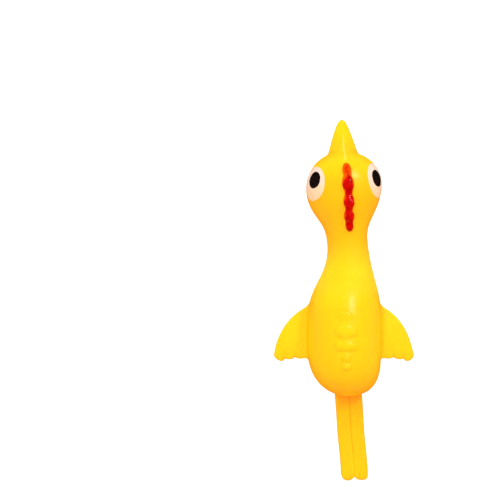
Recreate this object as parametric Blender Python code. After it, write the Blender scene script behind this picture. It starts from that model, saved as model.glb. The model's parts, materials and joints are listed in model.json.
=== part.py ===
"""Stretchy rubber chicken: a soft moulded sling toy that is slung from a fingertip.

The toy lies on its belly. +Y is forward, towards the beak, +X is the right side as seen from above
with the beak away from the viewer, and +Z is up, towards the comb. The origin is under the middle of
the toy, on the surface that it lies on. The real toy is one soft moulding, so every joint here stands
for a place where the rubber flexes, and each piece between two such places is its own object.
"""

import math

import bmesh
import bpy
from mathutils import Matrix, Vector

MM = 0.001

# Driving dimensions
LENGTH = 101.0 * MM
SIDES = (("left", -1.0), ("right", 1.0))
CLEARANCE = 0.3 * MM
AROUND = 32

# Head, from its widest section forward to where it closes behind the beak
HEAD_Y = 31.1 * MM
HEAD_NOSE = 10.6 * MM
HEAD_BLUNTNESS = 2.2
HEAD_HALF_WIDTH = 10.0 * MM
HEAD_HALF_HEIGHT = 10.6 * MM
HEAD_Z = 10.4 * MM

# Body, from its widest section back to the rump
RUMP_Y = -13.5 * MM
RUMP_LENGTH = 12.4 * MM
RUMP_BLUNTNESS = 2.5
BODY_HALF_WIDTH = 10.1 * MM
BODY_HALF_HEIGHT = 12.3 * MM
BODY_Z = 11.8 * MM

# Between the widest sections: position along Y, half width, half height, height of the centre
NECK_STATIONS = [
    (RUMP_Y, BODY_HALF_WIDTH, BODY_HALF_HEIGHT, BODY_Z),
    (-5.6 * MM, 10.1 * MM, 12.0 * MM, 11.9 * MM),
    (-0.1 * MM, 9.75 * MM, 10.8 * MM, 12.1 * MM),
    (4.0 * MM, 8.6 * MM, 9.5 * MM, 12.2 * MM),
    (8.2 * MM, 7.05 * MM, 7.9 * MM, 12.2 * MM),
    (12.3 * MM, 6.0 * MM, 6.6 * MM, 12.1 * MM),
    (17.4 * MM, 5.7 * MM, 6.0 * MM, 12.0 * MM),
    (20.6 * MM, 6.25 * MM, 6.6 * MM, 11.7 * MM),
    (23.4 * MM, 7.8 * MM, 8.2 * MM, 11.2 * MM),
    (26.2 * MM, 9.3 * MM, 9.7 * MM, 10.7 * MM),
    (HEAD_Y, HEAD_HALF_WIDTH, HEAD_HALF_HEIGHT, HEAD_Z),
]

# Flexing places of the neck: a ball on one piece inside a cup on the next
NECK_TURN_Y = 9.9 * MM
NECK_TURN_Z = 12.1 * MM
NECK_TURN_BALL = 5.4 * MM
HEAD_NOD_Y = 17.4 * MM
HEAD_NOD_Z = 12.0 * MM
HEAD_NOD_BALL = 4.9 * MM
CUP_RIM_AHEAD = 1.3 * MM
SHOULDER_BEHIND = 2.4 * MM

# The angle from its axis at which a ball or round end stops in a small flat, so that no ring is a point
TIP_ANGLE = 0.05

# Finger pocket under the head, from its mouth to the centre of its round end
POCKET_MOUTH = Vector((0.0, 27.6 * MM, 0.0))
POCKET_END = Vector((0.0, 30.4 * MM, 9.6 * MM))
POCKET_HALF_WIDTH = 5.6 * MM
POCKET_HALF_DEPTH = 4.8 * MM

# Beak
BEAK_BASE_Y = 38.9 * MM
BEAK_STATIONS = [
    (BEAK_BASE_Y, 4.55 * MM, 3.9 * MM),
    (41.9 * MM, 3.7 * MM, 3.2 * MM),
    (45.4 * MM, 2.65 * MM, 2.3 * MM),
    (48.6 * MM, 1.5 * MM, 1.3 * MM),
    (49.9 * MM, 0.8 * MM, 0.7 * MM),
    (LENGTH / 2, 0.3 * MM, 0.3 * MM),
]
BEAK_Z = 10.2 * MM

# Eyes: angle above the horizontal, place along Y, radius. They face slightly forward.
EYE_WHITE = (32.0, 32.8 * MM, 5.0 * MM)
PUPIL = (33.0, 33.9 * MM, 2.4 * MM)
EYE_LEAN = 0.15
EYE_PROUD = 0.35 * MM
PUPIL_PROUD = 0.55 * MM
EYE_DEPTH = 0.4 * MM

# Comb beads: position along Y, half length, half width
COMB_BEADS = [
    (36.7 * MM, 2.2 * MM, 1.25 * MM),
    (32.3 * MM, 2.9 * MM, 1.65 * MM),
    (27.7 * MM, 2.3 * MM, 1.5 * MM),
    (24.0 * MM, 2.1 * MM, 1.4 * MM),
    (21.0 * MM, 1.7 * MM, 1.0 * MM),
]
COMB_RISE = 1.9 * MM

# Tail feathers on the lower back: position along Y, half length, half width
TAIL_LOBES = [
    (-4.2 * MM, 2.1 * MM, 1.5 * MM),
    (-8.0 * MM, 2.5 * MM, 3.1 * MM),
    (-11.8 * MM, 2.3 * MM, 2.8 * MM),
    (-15.2 * MM, 1.9 * MM, 1.3 * MM),
    (-17.9 * MM, 1.5 * MM, 1.1 * MM),
]
TAIL_RISE = 1.6 * MM

# Wings, hinged along a line parallel to Y at their roots
WING_HINGE_X = 10.15 * MM
WING_HINGE_Z = 10.8 * MM
WING_FRONT_Y = -0.9 * MM
WING_REAR_Y = -15.0 * MM
WING_THICKNESS = 2.2 * MM
WING_ROOT_RADIUS = 1.2 * MM
WING_DROOP = math.radians(9.0)
WING_TIP = (9.05 * MM, -14.9 * MM)
WING_BOW = (7.7 * MM, -5.25 * MM)
WING_NOTCHES = [(6.25 * MM, -15.75 * MM), (3.6 * MM, -15.4 * MM)]
WING_SCALLOPS = (1.2 * MM, 0.45 * MM, 0.6 * MM)

# Legs: each swings about a line parallel to X at the rump and stretches along itself
LEG_X = 1.98 * MM
LEG_RADIUS = 1.8 * MM
LEG_HINGE_Y = -26.5 * MM
LEG_HINGE_Z = 8.0 * MM
LEG_SLOPE = math.radians(14.0)
LEG_REACH = (LENGTH / 2 + LEG_HINGE_Y) / math.cos(LEG_SLOPE)
FOOT_LENGTH = 8.0 * MM
FOOT_HALF_HEIGHT = 1.95 * MM

# The foot, as distance ahead of its tip and shares of the leg's half width and the foot's half height
FOOT_STATIONS = [
    (FOOT_LENGTH - CLEARANCE, 1.0, LEG_RADIUS / FOOT_HALF_HEIGHT),
    (5.2 * MM, 1.0, LEG_RADIUS / FOOT_HALF_HEIGHT),
    (3.2 * MM, 1.0, 1.0),
    (1.6 * MM, 0.97, 1.0),
    (0.7 * MM, 0.82, 0.8),
    (0.2 * MM, 0.55, 0.52),
    (0.0, 0.25, 0.25),
]

COLOURS = {
    "yellow_rubber": ((1.0, 0.65, 0.01, 1.0), 0.35),
    "red_paint": ((0.75, 0.02, 0.01, 1.0), 0.3),
    "white_paint": ((0.9, 0.8, 0.7, 1.0), 0.4),
    "black_paint": ((0.02, 0.01, 0.01, 1.0), 0.3),
}


def clear_scene():
    for item in list(bpy.data.objects):
        bpy.data.objects.remove(item)


def paint(item, colour_name):
    """Each object has its own material, in one of the toy's four colours."""
    colour, roughness = COLOURS[colour_name]
    material = bpy.data.materials.new(f"{item.name}_{colour_name}")
    material.use_nodes = True
    shader = material.node_tree.nodes["Principled BSDF"]
    shader.inputs["Base Color"].default_value = colour
    shader.inputs["Roughness"].default_value = roughness
    shader.inputs["Metallic"].default_value = 0.0
    material.diffuse_color = colour
    item.data.materials.append(material)


def new_object(name, bm):
    bmesh.ops.recalc_face_normals(bm, faces=bm.faces)
    mesh = bpy.data.meshes.new(name)
    bm.to_mesh(mesh)
    bm.free()
    mesh.shade_smooth()
    mesh.set_sharp_from_angle(angle=math.radians(35.0))
    item = bpy.data.objects.new(name, mesh)
    bpy.context.scene.collection.objects.link(item)
    return item


def loft(name, loops):
    """One closed body through loops of points, each with as many points as the next."""
    bm = bmesh.new()
    rings = [[bm.verts.new(point) for point in loop] for loop in loops]
    for near, far in zip(rings, rings[1:]):
        for i in range(len(near)):
            bm.faces.new((near[i - 1], near[i], far[i], far[i - 1]))
    bm.faces.new(rings[0])
    bm.faces.new(rings[-1])
    return new_object(name, bm)


def oval(centre, half_width, half_height, count=AROUND):
    """Points of an ellipse in a plane across the Y axis."""
    steps = [2 * math.pi * i / count for i in range(count)]
    return [centre + Vector((half_width * math.cos(a), 0.0, half_height * math.sin(a))) for a in steps]


def hide_tool(item):
    """A cutter shapes other objects and isn't part of the toy."""
    item.hide_render = True
    item.display_type = "WIRE"
    return item


def combine(item, tool, operation):
    modifier = item.modifiers.new(operation.lower(), "BOOLEAN")
    modifier.operation = operation
    modifier.solver = "EXACT"
    modifier.object = hide_tool(tool)


def between(stations, y):
    """The stations' values at y, along one smooth curve with level ends."""
    last = len(stations) - 1
    i = max(k for k in range(last) if k == 0 or stations[k][0] <= y)

    def slope(k, value):
        if k in (0, last):
            return 0.0
        run = stations[k + 1][0] - stations[k - 1][0]
        return (stations[k + 1][value] - stations[k - 1][value]) / run

    run = stations[i + 1][0] - stations[i][0]
    t = min(max((y - stations[i][0]) / run, 0.0), 1.0)
    ease = t * t * (3 - 2 * t)
    found = []
    for value in range(1, len(stations[0])):
        low, high = stations[i][value], stations[i + 1][value]
        bend_low = slope(i, value) * run * t * (1 - t) ** 2
        bend_high = slope(i + 1, value) * run * t * t * (1 - t)
        found.append(low + (high - low) * ease + bend_low - bend_high)
    return found


def end_share(u, bluntness):
    """How wide a blunt round end still is, from 1 at its start to 0 at its tip."""
    return max(1.0 - abs(u) ** bluntness, 0.0) ** (1.0 / bluntness)


def section(y, inflate=0.0):
    """Half width, half height and centre height of head, neck and body at y."""
    if y > HEAD_Y:
        share = end_share((y - HEAD_Y) / (HEAD_NOSE + inflate), HEAD_BLUNTNESS)
        return (HEAD_HALF_WIDTH + inflate) * share, (HEAD_HALF_HEIGHT + inflate) * share, HEAD_Z
    if y < RUMP_Y:
        share = end_share((RUMP_Y - y) / (RUMP_LENGTH + inflate), RUMP_BLUNTNESS)
        return (BODY_HALF_WIDTH + inflate) * share, (BODY_HALF_HEIGHT + inflate) * share, BODY_Z
    half_width, half_height, centre_z = between(NECK_STATIONS, y)
    return half_width + inflate, half_height + inflate, centre_z


def skin_ring(y, inflate=0.0):
    half_width, half_height, centre_z = section(y, inflate)
    return oval(Vector((0.0, y, centre_z)), half_width, half_height)


def steps(start, stop, count):
    return [start + (stop - start) * i / count for i in range(count + 1)]


def round_end(start, length, count=9):
    """Places along Y that close in on the tip of a round end."""
    return [start + length * math.sin(math.pi / 2 * i / count) for i in range(1, count)] + [
        start + length * 0.998
    ]


def ball_rings(centre_y, centre_z, radius, from_ahead, count=7):
    """Rings of a ball, from a plane from_ahead of its centre forward to its tip."""
    start = math.acos(from_ahead / radius)
    angles = [start * (1 - i / count) for i in range(count)] + [TIP_ANGLE]
    return [
        oval(
            Vector((0.0, centre_y + radius * math.cos(a), centre_z)),
            radius * math.sin(a),
            radius * math.sin(a),
        )
        for a in angles
    ]


def cup_rings(centre_y, centre_z, ball):
    """A cup around a ball, from its bottom out to its rim."""
    rings = ball_rings(centre_y, centre_z, ball + CLEARANCE, CUP_RIM_AHEAD)
    return rings[::-1]


def head_form(name, inflate):
    """The head's outer shape alone, for shaping what sits on it."""
    places = steps(HEAD_NOD_Y, HEAD_Y, 10) + round_end(HEAD_Y, HEAD_NOSE + inflate)
    return loft(name, [skin_ring(y, inflate) for y in places])


def body_form(name, inflate):
    places = round_end(RUMP_Y, -(RUMP_LENGTH + inflate))[::-1] + steps(RUMP_Y, HEAD_NOD_Y, 20)
    return loft(name, [skin_ring(y, inflate) for y in places])


def rod(name, radius, start, end, count=AROUND):
    """A round rod between two points."""
    bm = bmesh.new()
    run = end - start
    bmesh.ops.create_cone(
        bm, cap_ends=True, segments=count, radius1=radius, radius2=radius, depth=run.length
    )
    turn = run.to_track_quat("Z", "Y").to_matrix().to_4x4()
    bmesh.ops.transform(bm, matrix=Matrix.Translation((start + end) / 2) @ turn, verts=bm.verts)
    return new_object(name, bm)


def beads(name, places, rise, form):
    """A row of beads along the midline, standing on the surface that form gives."""
    first = None
    for y, half_length, half_width in places:
        _, half_height, centre_z = section(y)
        bm = bmesh.new()
        bmesh.ops.create_uvsphere(bm, u_segments=14, v_segments=8, radius=1.0)
        size = Matrix.Diagonal((half_width, half_length, rise, 1.0))
        place = Matrix.Translation((0.0, y, centre_z + half_height))
        bmesh.ops.transform(bm, matrix=place @ size, verts=bm.verts)
        bead = new_object(name if first is None else f"{name}_bead", bm)
        if first is None:
            first = bead
        else:
            combine(first, bead, "UNION")
    combine(first, form, "DIFFERENCE")
    return first


def floor_cutter():
    """Everything under the surface that the toy lies on."""
    bm = bmesh.new()
    bmesh.ops.create_cube(bm, size=LENGTH * 2)
    bmesh.ops.translate(bm, vec=(0.0, 0.0, -LENGTH), verts=bm.verts)
    return hide_tool(new_object("floor_cutter", bm))


def build_torso(floor):
    """Body from the rump to the shoulder, with the ball that the neck turns on."""
    shoulder_y = NECK_TURN_Y - SHOULDER_BEHIND
    places = round_end(RUMP_Y, -RUMP_LENGTH)[::-1] + steps(RUMP_Y, shoulder_y, 13)
    loops = [skin_ring(y) for y in places]
    loops += ball_rings(NECK_TURN_Y, NECK_TURN_Z, NECK_TURN_BALL, -SHOULDER_BEHIND)
    torso = loft("torso", loops)
    combine(torso, floor, "DIFFERENCE")
    for side, sign in SIDES:
        front, rear = wing_hinge(sign, CLEARANCE)
        groove = rod(f"wing_groove_{side}", WING_ROOT_RADIUS + CLEARANCE, front, rear, 24)
        combine(torso, groove, "DIFFERENCE")
    reach = Vector((LEG_X + LEG_RADIUS + CLEARANCE, 0.0, 0.0))
    hinge = Vector((0.0, LEG_HINGE_Y, LEG_HINGE_Z))
    combine(torso, rod("leg_groove", LEG_RADIUS + CLEARANCE, hinge - reach, hinge + reach), "DIFFERENCE")
    paint(torso, "yellow_rubber")


def build_neck():
    """Short link with a cup at the back and a ball at the front."""
    loops = cup_rings(NECK_TURN_Y, NECK_TURN_Z, NECK_TURN_BALL)
    loops += [skin_ring(y) for y in steps(NECK_TURN_Y + CUP_RIM_AHEAD, HEAD_NOD_Y - SHOULDER_BEHIND, 3)]
    loops += ball_rings(HEAD_NOD_Y, HEAD_NOD_Z, HEAD_NOD_BALL, -SHOULDER_BEHIND)
    neck = loft("neck", loops)
    neck.data.transform(Matrix.Translation((0.0, -NECK_TURN_Y, -NECK_TURN_Z)))
    neck.location = (0.0, NECK_TURN_Y, NECK_TURN_Z)
    paint(neck, "yellow_rubber")


def pocket_cutter():
    """Oval pocket with a round end, running up into the head."""
    axis = POCKET_END - POCKET_MOUTH
    turn = Matrix.Rotation(-math.atan2(axis.z, -axis.y), 4, "X")
    straight = steps(-4.0 * MM, axis.length, 4)
    dome = [math.pi / 2 * i / 7 for i in range(1, 7)]
    places = [(along, 1.0) for along in straight]
    places += [(axis.length + POCKET_HALF_DEPTH * math.sin(a), math.cos(a)) for a in dome]
    loops = [
        oval(Vector((0.0, -along, 0.0)), POCKET_HALF_WIDTH * share, POCKET_HALF_DEPTH * share, 24)
        for along, share in places
    ]
    pocket = loft("finger_pocket", loops)
    pocket.data.transform(Matrix.Translation(POCKET_MOUTH) @ turn)
    return pocket


def eye_rod(name, side_sign, eye, extra):
    """A rod across the skin at an eye, square to the surface there."""
    rise, y, radius = eye
    angle = math.radians(rise)
    half_width, half_height, centre_z = section(y)
    point = Vector((side_sign * half_width * math.cos(angle), y, centre_z + half_height * math.sin(angle)))
    normal = Vector((side_sign * math.cos(angle), EYE_LEAN, math.sin(angle))).normalized()
    reach = normal * radius
    return rod(name, radius + extra, point - reach, point + reach)


def build_eye(side, sign):
    """A white ring and the pupil that fills its hole, both let into the head."""
    white = eye_rod(f"eye_white_{side}", sign, EYE_WHITE, 0.0)
    pupil = eye_rod(f"pupil_{side}", sign, PUPIL, 0.0)
    combine(white, bpy.data.objects["eye_outside"], "INTERSECT")
    combine(white, bpy.data.objects["eye_inside"], "DIFFERENCE")
    combine(white, eye_rod(f"pupil_hole_{side}", sign, PUPIL, CLEARANCE), "DIFFERENCE")
    combine(pupil, bpy.data.objects["pupil_outside"], "INTERSECT")
    combine(pupil, bpy.data.objects["eye_inside"], "DIFFERENCE")
    paint(white, "white_paint")
    paint(pupil, "black_paint")


def build_head(floor):
    """Head with its cup at the back, eye sockets and the finger pocket."""
    loops = cup_rings(HEAD_NOD_Y, HEAD_NOD_Z, HEAD_NOD_BALL)
    places = steps(HEAD_NOD_Y + CUP_RIM_AHEAD, HEAD_Y, 8) + round_end(HEAD_Y, HEAD_NOSE)
    loops += [skin_ring(y) for y in places]
    head = loft("head", loops)
    combine(head, floor, "DIFFERENCE")
    combine(head, pocket_cutter(), "DIFFERENCE")
    head_form("eye_outside", EYE_PROUD)
    head_form("eye_inside", -EYE_DEPTH)
    head_form("pupil_outside", PUPIL_PROUD)
    for side, sign in SIDES:
        socket = eye_rod(f"eye_socket_{side}", sign, EYE_WHITE, CLEARANCE)
        combine(socket, head_form(f"socket_floor_{side}", -EYE_DEPTH - CLEARANCE), "DIFFERENCE")
        combine(head, socket, "DIFFERENCE")
        build_eye(side, sign)
    paint(head, "yellow_rubber")


def build_beak():
    loops = [oval(Vector((0.0, y, BEAK_Z)), wide, high, 24) for y, wide, high in BEAK_STATIONS]
    beak = loft("beak", loops)
    combine(beak, head_form("beak_seat", CLEARANCE), "DIFFERENCE")
    paint(beak, "yellow_rubber")


def wing_hinge(sign, extra=0.0):
    front = Vector((sign * WING_HINGE_X, WING_FRONT_Y + extra, WING_HINGE_Z))
    rear = Vector((sign * WING_HINGE_X, WING_REAR_Y - extra, WING_HINGE_Z))
    return front, rear


def scallop(start, end, depth, count=5):
    """Points of an arc that bulges backwards by depth between start and end, without its start."""
    points = []
    for i in range(1, count + 1):
        t = i / count
        bulge = depth * 4 * t * (1 - t)
        points.append((start[0] + (end[0] - start[0]) * t, start[1] + (end[1] - start[1]) * t - bulge))
    return points


def wing_outline():
    """Out along the bowed front edge to the tip, and back along three scallops."""
    root = (0.0, WING_FRONT_Y - CLEARANCE)
    points = []
    for t in steps(0.0, 1.0, 12):
        near, middle, far = (1 - t) ** 2, 2 * t * (1 - t), t * t
        points.append(tuple(near * root[k] + middle * WING_BOW[k] + far * WING_TIP[k] for k in (0, 1)))
    corners = [WING_TIP, *WING_NOTCHES, (0.0, WING_REAR_Y + CLEARANCE)]
    for start, end, depth in zip(corners, corners[1:], WING_SCALLOPS):
        points += scallop(start, end, depth)
    return points


def build_wing(side, sign):
    """A flat wing with scalloped feathers, and the round root that it swings on."""
    bm = bmesh.new()
    verts = [bm.verts.new((sign * out, y, -WING_THICKNESS / 2)) for out, y in wing_outline()]
    face = bm.faces.new(verts)
    grown = bmesh.ops.extrude_face_region(bm, geom=[face])
    top = [v for v in grown["geom"] if isinstance(v, bmesh.types.BMVert)]
    bmesh.ops.translate(bm, vec=(0.0, 0.0, WING_THICKNESS), verts=top)
    wing = new_object(f"wing_{side}", bm)
    wing.location = (sign * WING_HINGE_X, 0.0, WING_HINGE_Z)
    wing.rotation_euler = (0.0, sign * WING_DROOP, 0.0)
    front, rear = wing_hinge(sign)
    combine(wing, rod(f"wing_root_{side}", WING_ROOT_RADIUS, front, rear, 24), "UNION")
    paint(wing, "yellow_rubber")


def leg_loops(stations):
    """Loops across a leg that points straight back from its hinge."""
    return [oval(Vector((0.0, -back, 0.0)), wide, high, 20) for back, wide, high in stations]


def build_leg(side, sign):
    """A shank with a round root at the rump, and the foot that pulls away as the shank stretches."""
    angles = [TIP_ANGLE + (math.pi / 2 - TIP_ANGLE) * i / 6 for i in range(6)]
    root = [(-LEG_RADIUS * math.cos(a), LEG_RADIUS * math.sin(a)) for a in angles]
    straight = [(0.0, LEG_RADIUS), (LEG_REACH - FOOT_LENGTH, LEG_RADIUS)]
    shank = loft(f"shank_{side}", leg_loops([(back, size, size) for back, size in root + straight]))
    stations = [
        (LEG_REACH - ahead, LEG_RADIUS * wide, FOOT_HALF_HEIGHT * high)
        for ahead, wide, high in FOOT_STATIONS
    ]
    foot = loft(f"foot_{side}", leg_loops(stations))
    hip = bpy.data.objects.new(f"hip_{side}", None)
    bpy.context.scene.collection.objects.link(hip)
    hip.location = (sign * LEG_X, LEG_HINGE_Y, LEG_HINGE_Z)
    hip.rotation_euler = (LEG_SLOPE, 0.0, 0.0)
    for item in (shank, foot):
        item.parent = hip
    paint(shank, "yellow_rubber")
    paint(foot, "yellow_rubber")


def build_chicken():
    clear_scene()
    floor = floor_cutter()
    build_torso(floor)
    build_neck()
    build_head(floor)
    build_beak()
    paint(beads("comb", COMB_BEADS, COMB_RISE, head_form("comb_seat", CLEARANCE)), "red_paint")
    paint(beads("tail_feathers", TAIL_LOBES, TAIL_RISE, body_form("tail_seat", CLEARANCE)), "yellow_rubber")
    for side, sign in SIDES:
        build_wing(side, sign)
        build_leg(side, sign)


build_chicken()
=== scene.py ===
"""Looks of the stretchy rubber chicken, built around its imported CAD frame.

The toy is one soft moulding, so its skin is one closed surface. It is described in millimetres by a
signed distance field, negative inside, which is meshed once and then cut into pieces where the rubber
flexes. +Y is forward, towards the beak, +X is the right side seen from above, and +Z is up.
"""

import json
import math

import bpy
import numpy as np
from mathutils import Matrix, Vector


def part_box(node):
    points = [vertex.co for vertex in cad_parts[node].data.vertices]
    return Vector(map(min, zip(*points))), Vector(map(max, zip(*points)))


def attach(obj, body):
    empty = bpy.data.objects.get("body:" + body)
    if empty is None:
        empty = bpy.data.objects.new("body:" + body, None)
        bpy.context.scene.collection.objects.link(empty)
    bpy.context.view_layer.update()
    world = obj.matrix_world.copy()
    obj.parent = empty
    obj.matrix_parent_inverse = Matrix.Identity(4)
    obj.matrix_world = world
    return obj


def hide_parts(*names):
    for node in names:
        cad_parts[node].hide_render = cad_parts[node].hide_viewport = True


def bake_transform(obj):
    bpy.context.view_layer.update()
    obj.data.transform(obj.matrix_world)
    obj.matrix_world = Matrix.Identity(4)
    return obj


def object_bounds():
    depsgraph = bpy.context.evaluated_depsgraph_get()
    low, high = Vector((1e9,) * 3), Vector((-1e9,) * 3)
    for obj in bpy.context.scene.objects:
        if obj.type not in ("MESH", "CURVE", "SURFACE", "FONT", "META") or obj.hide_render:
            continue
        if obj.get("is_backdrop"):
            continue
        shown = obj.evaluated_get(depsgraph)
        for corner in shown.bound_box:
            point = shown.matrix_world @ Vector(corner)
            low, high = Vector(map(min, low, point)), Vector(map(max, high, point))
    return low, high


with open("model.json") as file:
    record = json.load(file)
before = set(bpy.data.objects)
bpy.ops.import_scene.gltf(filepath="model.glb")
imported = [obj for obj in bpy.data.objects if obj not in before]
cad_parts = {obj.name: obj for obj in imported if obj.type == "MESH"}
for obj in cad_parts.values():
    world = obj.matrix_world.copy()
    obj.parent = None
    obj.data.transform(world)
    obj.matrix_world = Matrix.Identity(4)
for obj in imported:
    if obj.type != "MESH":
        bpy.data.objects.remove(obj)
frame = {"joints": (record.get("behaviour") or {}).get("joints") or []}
cad_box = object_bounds()

MM = 0.001


def in_mm(point):
    return np.array(point, float) / MM


def node_box(node):
    low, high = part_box(node)
    return in_mm(low), in_mm(high)


JOINTS = {joint["name"]: joint for joint in frame["joints"]}
HIP = in_mm(JOINTS["leg_right_swing"]["pos_m"])
LEG_LINE = np.array(JOINTS["leg_right_stretch"]["axis"], float)
WING_HINGE = in_mm(JOINTS["wing_right_flap"]["pos_m"])
NECK_TURN_Y = in_mm(JOINTS["neck_turn"]["pos_m"])[1]
HEAD_NOD_Y = in_mm(JOINTS["head_nod"]["pos_m"])[1]
BEAK_TIP_Y = node_box("beak")[1][1]
BEAK_Z = (node_box("beak")[0][2] + node_box("beak")[1][2]) / 2
LEG_LENGTH = (node_box("foot_right")[0][1] - HIP[1]) / LEG_LINE[1]

# Head, neck and body along Y: place, half width, half height, height of the centre
PROFILE = [
    (-13.5, 10.1, 12.2, 11.8),
    (-5.6, 10.1, 12.0, 11.9),
    (-0.1, 9.75, 10.75, 12.0),
    (4.0, 8.6, 9.0, 12.1),
    (8.2, 7.0, 6.8, 12.1),
    (12.3, 5.95, 6.05, 12.1),
    (17.4, 5.6, 6.25, 12.0),
    (20.6, 6.2, 6.9, 11.75),
    (23.4, 7.65, 8.2, 11.2),
    (26.2, 9.1, 9.7, 10.7),
    (31.1, 10.0, 10.6, 10.4),
]
# Its round ends: how long, and how blunt, where 2 is an oval
RUMP_LENGTH, RUMP_BLUNTNESS = 12.4, 2.4
NOSE_LENGTH, NOSE_BLUNTNESS, FOREHEAD_BLUNTNESS = 10.3, 2.3, 2.7

# How the soft toy lies off its straight line: place along Y, sideways shift
SWAY = [
    (-50.5, 3.2),
    (-37.6, 1.95),
    (-26.6, 1.0),
    (-16.6, -0.2),
    (-5.6, -0.3),
    (2.5, 0.0),
    (9.9, 0.75),
    (25.4, -0.35),
    (36.4, -0.4),
    (50.5, -0.85),
]
# How far its back leans to the right, as a share of the height above its middle
LEAN = [
    (-50.5, 0.0),
    (-20.0, -0.03),
    (-6.0, -0.035),
    (1.5, -0.07),
    (13.0, 0.02),
    (23.0, 0.08),
    (32.5, 0.045),
    (40.0, 0.0),
]
# How far its right side lies ahead of its left, as a share of the distance across
SKEW = [(18.0, 0.0), (28.0, 0.025), (39.5, 0.035), (47.0, 0.0)]

# Beak: its half width squared is SPREAD * s + FLARE * s * s, at s behind the tip
BEAK_SPREAD = 1.02
BEAK_FLARE = 0.068
BEAK_HEIGHT_SHARE = 0.86
# How fast its top gets higher behind the tip, and up to where
BEAK_BRIDGE, BEAK_BRIDGE_END = 0.012, 14.0
# The power of its section above, where 2 is round and less is sharper, and the fine crest along it
BEAK_RIDGE, BEAK_RIDGE_SOFTNESS = 1.45, 0.2
BEAK_CREST_RISE, BEAK_CREST_WIDTH = 0.14, 0.3
# Mouth: depth below the beak's middle at its tip and how fast that grows, how flat and deep the groove is
MOUTH_DROP, MOUTH_SLOPE = 0.5, 0.02
MOUTH_FLATNESS, MOUTH_RADIUS = 0.9, 0.22
MOUTH_START, MOUTH_END, MOUTH_FADE = 1.2, 9.6, 0.15

# Eyes: a low bulge with two painted discs. Angles in degrees above the horizontal and forward.
EYE_RISE = 28.5
EYE_FORWARD = 9.0
EYE_BULGE_Y = 31.6
EYE_BULGE_RADIUS = 8.0
EYE_BULGE_PROUD = 0.45
EYE_WHITE = {"radius": 4.9, "proud": 0.12, "sunk": 0.03, "rim_power": 10}
PUPIL = {"radius": 2.42, "proud": 0.14, "sunk": -0.06, "rim_power": 6}
# Side, its sign along X, then rise and place along Y of the white and of the pupil
EYES = [("left", -1, (28.5, 32.8), (34.5, 33.7)), ("right", 1, (30.5, 33.1), (35.8, 33.5))]

# Comb beads: place along Y, half length, half width
COMB_BEADS = [
    (36.0, 1.45, 1.2),
    (32.2, 2.1, 1.62),
    (27.45, 1.85, 1.52),
    (23.65, 1.6, 1.45),
    (20.7, 1.1, 1.02),
]
COMB_RISE = 1.5
# Bumps in each bead, and the turn in radians from one bead's bumps to the next one's
COMB_BUMPS, COMB_BUMP_TURN = 5, 1.7
COMB_BUMP_JOIN, COMB_BEAD_JOIN = 0.34, 0.3
# The ribbon that ties the beads together
COMB_RIBBON_RISE, COMB_RIBBON_HALF_WIDTH = 0.45 * COMB_RISE, 0.8
# How far the moulding lies under the comb's paint
COMB_PAINT_DEPTH = 0.16

# Tail feathers: place along Y, half length, half width, rise, and whether a petal hangs on each side
TAIL_BEADS = [
    (-3.5, 1.4, 1.75, 0.42, False),
    (-7.4, 2.15, 2.3, 0.8, True),
    (-11.3, 1.6, 2.2, 0.8, True),
    (-14.4, 1.35, 1.25, 0.65, False),
    (-16.95, 1.05, 1.15, 0.6, False),
]
TAIL_JOIN = 0.35
# Petals: out to the side and along Y from the bead, half width, half length, rise as a share of the bead's
PETAL_PLACE = (2.2, -0.15)
PETAL_SIZE = (0.8, 1.35, 0.75)
PETAL_TURN = math.radians(14)
PETAL_JOIN = 0.7

# Wing outline: out from the hinge and along Y
WING_ROOT_Y = -1.2
WING_ROOT_DEPTH = 4.0
WING_BOW = (7.7, -4.9)
WING_TIP = (9.5, -14.9)
WING_NOTCHES = [(6.4, -15.8), (3.6, -15.4)]
WING_REAR_Y = -15.1
WING_SCALLOPS = (1.2, 0.5, 0.6)
WING_DROOP = math.radians(9.0)
# Half its thickness at the rim, how much more it gets inside and over what distance, and the rim's radius
WING_RIM_HALF, WING_SWELL, WING_SWELL_REACH = 0.7, 0.6, 2.2
WING_ROUNDING = 0.62
# Grooves from the notches: their direction, start, length, depth and half width
WING_GROOVE_LINE = np.array([-0.25, 1.0]) / math.hypot(0.25, 1.0)
WING_GROOVE_START, WING_GROOVE_LENGTH = -3, 4.5
WING_GROOVE_DEPTH, WING_GROOVE_WIDTH = 0.28, 0.5

# Legs: how far the middle of each lies off the centre line, and half its width and height
LEG_X = 1.82
LEG_HALF_WIDTH = 1.99
LEG_HALF_HEIGHT = 1.8
# Power of the section, where 2 is an oval and more is squarer, on the outer side and between the legs
LEG_SQUARENESS = 3.4
LEG_INNER_SQUARENESS, FOOT_INNER_SQUARENESS = 5.8, 8.5
LEG_HIDDEN_LENGTH = 6.0
FOOT_LENGTH = 8.0
FOOT_EASE, FOOT_SWELL = 3.0, 0.12
# How much longer each foot is than the straight one, the length of its round end and how blunt that is
FOOT_ENDS = {"left": (0.45, 2.3, 2.0), "right": (0.15, 1.6, 2.5)}
FOOT_INNER_BLUNTNESS = 1.35
TOE_LENGTH, TOE_GROOVE_DEPTH, TOE_GROOVE_WIDTH = 3.2, 0.14, 0.24

# Finger pocket, an oval tube: the middle of its mouth and of its round end, and half its width and depth
POCKET_MOUTH, POCKET_END = np.array([0.0, 27.6, 0.0]), np.array([0.0, 30.4, 9.6])
POCKET_HALF_WIDTH, POCKET_HALF_DEPTH = 5.6, 4.8

# A distance that is larger than any that counts
FAR = 9.0

CELL = 0.27


# ---------------------------------------------------------------- shapes as distance fields


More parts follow.
